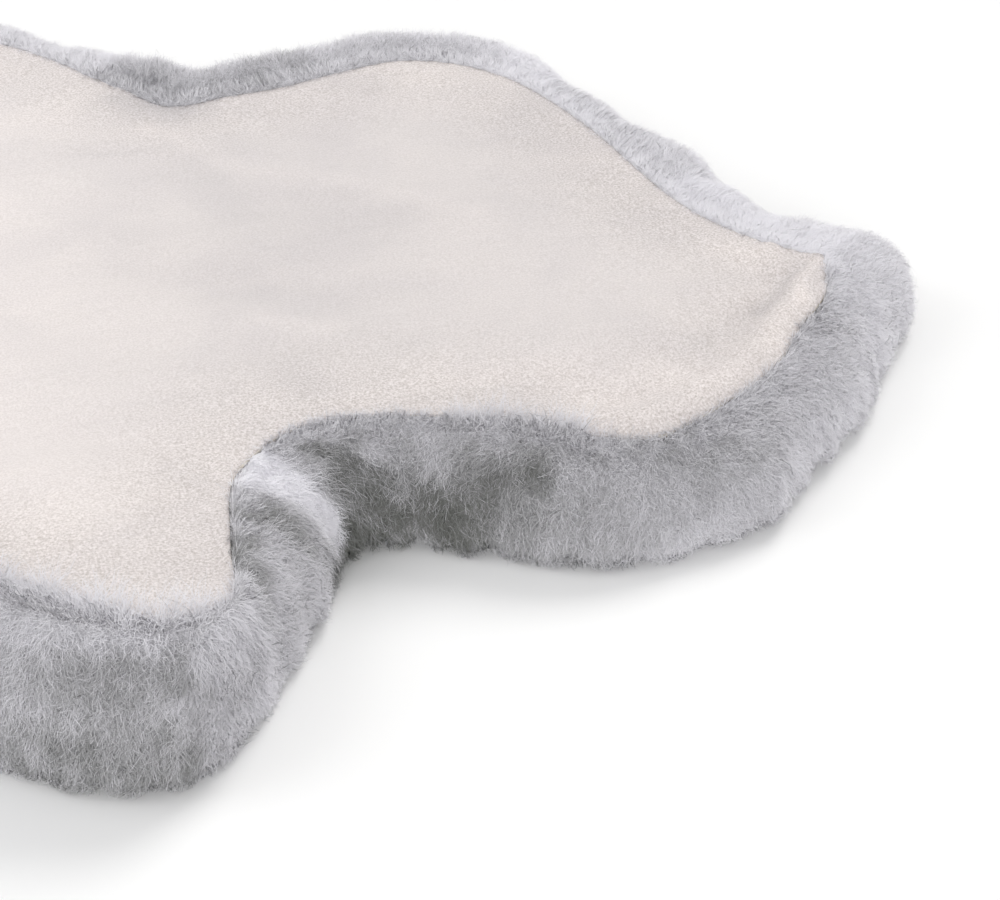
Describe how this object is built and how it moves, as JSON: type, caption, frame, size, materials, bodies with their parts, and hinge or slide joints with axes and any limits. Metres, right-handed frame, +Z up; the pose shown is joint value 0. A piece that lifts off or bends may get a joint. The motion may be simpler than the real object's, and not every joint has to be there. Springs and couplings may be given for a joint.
{
  "type": "sheepskin rug",
  "caption": "Sheepskin rug lying wool side down: a suede hide in the animal's outline on thick wool that shows all round its edge.",
  "frame": {"origin": "middle of the rug's outer box, on the floor under the wool", "axes": "+X along the rug towards the rump and its pointed tail, +Y to the side that lies away from the camera, +Z up"},
  "size_m": [1.0648, 0.688, 0.0759],
  "materials": {
    "suede": "matte cream suede with a short nap",
    "wool": "soft grey wool, paler in patches"
  },
  "bodies": {
    "root": {"hide": "suede", "wool_pile": "wool"}
  },
  "joints": []
}
